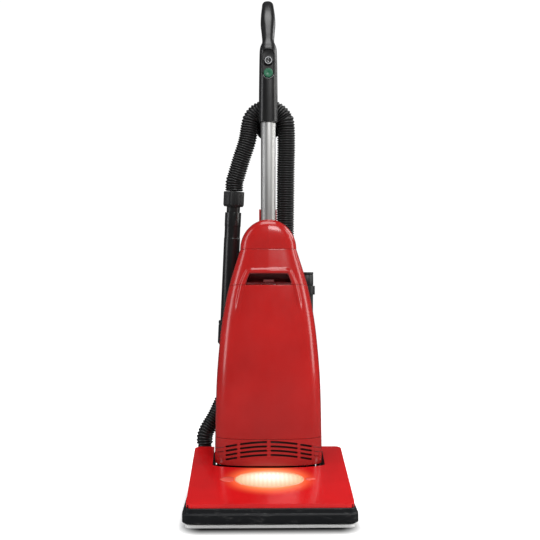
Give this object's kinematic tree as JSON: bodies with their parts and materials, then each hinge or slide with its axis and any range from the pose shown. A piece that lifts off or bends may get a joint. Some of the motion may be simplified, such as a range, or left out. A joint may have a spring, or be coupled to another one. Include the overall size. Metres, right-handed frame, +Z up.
{
  "type": "upright vacuum cleaner",
  "caption": "Commercial upright vacuum cleaner with a reclining bagged body, a lit floor head, a looped suction hose, a wand and a swan-neck grip with switches.",
  "frame": {"origin": "on the floor under the middle of the box round the machine, upright stored", "axes": "+Z up along the handle, +X to the machine's left-hand side as seen from behind it (right as seen from the front), front faces -Y"},
  "size_m": [0.3564, 0.3788, 1.1592],
  "materials": {
    "body_red": "high gloss moulded",
    "cover_red": "high gloss moulded",
    "black_gloss": "gloss moulded",
    "black_matte": "fine grain moulded",
    "dark_red": "satin moulded",
    "bumper_rubber": "satin",
    "wheel_rubber": "matte",
    "hose_plastic": "corrugated, satin",
    "steel": "satin",
    "plate_steel": "satin",
    "handle_tube_metal": "satin anodised",
    "lens": "clear, ribbed",
    "reflector": "bright",
    "bulb": "lit",
    "brush": "matte",
    "belt_rubber": "matte",
    "green": "satin",
    "grey_plastic": "matte",
    "copper": "wound",
    "filter_foam": "open foam",
    "filter_paper": "pleated",
    "bag_cloth": "non-woven"
  },
  "bodies": {
    "base": {"base_chassis": "black_matte", "base_cover": "cover_red", "bumper_strip": "bumper_rubber", "sole_plate": "plate_steel", "headlight_lens": "lens", "headlight_reflector": "reflector", "headlight_bulb": "bulb", "brush_cap_left": "grey_plastic", "brush_cap_right": "grey_plastic", "drive_belt": "belt_rubber", "front_axle": "steel", "rear_axle_left": "steel", "rear_axle_right": "steel", "pivot_pin_left": "steel", "pivot_pin_right": "steel", "pedal_pin": "steel", "suction_duct": "black_matte", "lower_hose": "hose_plastic"},
    "upright": {"trunnion_left": "black_matte", "trunnion_right": "black_matte", "motor_housing": "black_matte", "motor_stator": "copper", "rear_housing": "body_red", "top_cap": "body_red", "handle_panel": "body_red", "handle_pocket": "dark_red", "motor_cover": "body_red", "exhaust_filter": "filter_foam", "filter_tray": "black_matte", "pre_motor_filter": "filter_foam", "filter_bag": "bag_cloth", "bag_collar": "filter_paper", "hose_port": "black_matte", "handle_tube": "handle_tube_metal", "grip_front_shell": "black_gloss", "grip_rear_shell": "black_gloss", "switch_bezel": "black_matte", "switch_block": "grey_plastic", "cord_gland": "black_matte", "hose_hook": "black_matte", "cord_hook_lower": "black_matte", "upper_hose": "hose_plastic", "wand_socket": "black_matte", "tool_holder": "black_matte"},
    "front_wheel_left": {"front_wheel_left": "wheel_rubber"},
    "front_wheel_right": {"front_wheel_right": "wheel_rubber"},
    "rear_wheel_left": {"rear_wheel_left": "wheel_rubber"},
    "rear_wheel_right": {"rear_wheel_right": "wheel_rubber"},
    "brush": {"brush_roll": "brush"},
    "pedal": {"release_pedal": "black_gloss"},
    "rotor": {"motor_rotor": "steel"},
    "door": {"bag_door": "body_red"},
    "latch": {"door_latch": "black_matte"},
    "power": {"power_button": "black_gloss"},
    "brush_switch": {"brush_button": "green"},
    "wand": {"wand": "black_gloss", "hose_cuff": "black_matte"},
    "tool": {"crevice_tool": "black_matte"},
    "cord_hook": {"cord_hook_upper": "black_matte"}
  },
  "joints": [
    {"name": "recline", "type": "hinge", "parent": "base", "child": "upright", "pos_m": [0, 0.0908, 0.062], "axis": [-1, 0, 0], "range_deg": [0, 75], "deforming": ["lower_hose"]},
    {"name": "motor_spin", "type": "hinge", "parent": "upright", "child": "rotor", "pos_m": [0, 0.0908, 0.062], "axis": [1, 0, 0], "continuous": true},
    {"name": "brush_spin", "type": "hinge", "parent": "base", "child": "brush", "pos_m": [0, -0.1362, 0.0265], "axis": [1, 0, 0], "continuous": true},
    {"name": "front_wheel_left_spin", "type": "hinge", "parent": "base", "child": "front_wheel_left", "pos_m": [-0.12, -0.0832, 0.0155], "axis": [1, 0, 0], "continuous": true},
    {"name": "front_wheel_right_spin", "type": "hinge", "parent": "base", "child": "front_wheel_right", "pos_m": [0.12, -0.0832, 0.0155], "axis": [1, 0, 0], "continuous": true},
    {"name": "rear_wheel_left_spin", "type": "hinge", "parent": "base", "child": "rear_wheel_left", "pos_m": [-0.1495, 0.1008, 0.027], "axis": [1, 0, 0], "continuous": true},
    {"name": "rear_wheel_right_spin", "type": "hinge", "parent": "base", "child": "rear_wheel_right", "pos_m": [0.1495, 0.1008, 0.027], "axis": [1, 0, 0], "continuous": true},
    {"name": "pedal_press", "type": "hinge", "parent": "base", "child": "pedal", "pos_m": [0.1475, 0.14, 0.032], "axis": [-1, 0, 0], "range_deg": [0, 12], "stiffness_Nm_per_rad": 0.4, "springref_deg": -8.59},
    {"name": "door_open", "type": "hinge", "parent": "upright", "child": "door", "pos_m": [0, 0.0073, 0.1455], "axis": [1, 0, 0], "range_deg": [0, 80]},
    {"name": "latch_press", "type": "slide", "parent": "upright", "child": "latch", "axis": [0, 1, 0], "range_m": [0, 0.003], "stiffness_N_per_m": 300, "springref_m": -0.002},
    {"name": "power_press", "type": "slide", "parent": "upright", "child": "power", "axis": [0, 1, 0], "range_m": [0, 0.002], "stiffness_N_per_m": 400, "springref_m": -0.001},
    {"name": "brush_press", "type": "slide", "parent": "upright", "child": "brush_switch", "axis": [0, 1, 0], "range_m": [0, 0.002], "stiffness_N_per_m": 400, "springref_m": -0.001},
    {"name": "wand_lift", "type": "slide", "parent": "upright", "child": "wand", "axis": [0.0451, -0.0464, 0.9979], "range_m": [0, 0.05], "deforming": ["upper_hose"]},
    {"name": "tool_lift", "type": "slide", "parent": "upright", "child": "tool", "axis": [0, 0, 1], "range_m": [0, 0.06]},
    {"name": "cord_hook_turn", "type": "hinge", "parent": "upright", "child": "cord_hook", "pos_m": [0, 0.1104, 0.972], "axis": [0, 1, 0], "range_deg": [0, 180]}
  ],
  "couplings": [
    {"joint": "brush_spin", "follows": "motor_spin", "ratio": 0.6715}
  ]
}
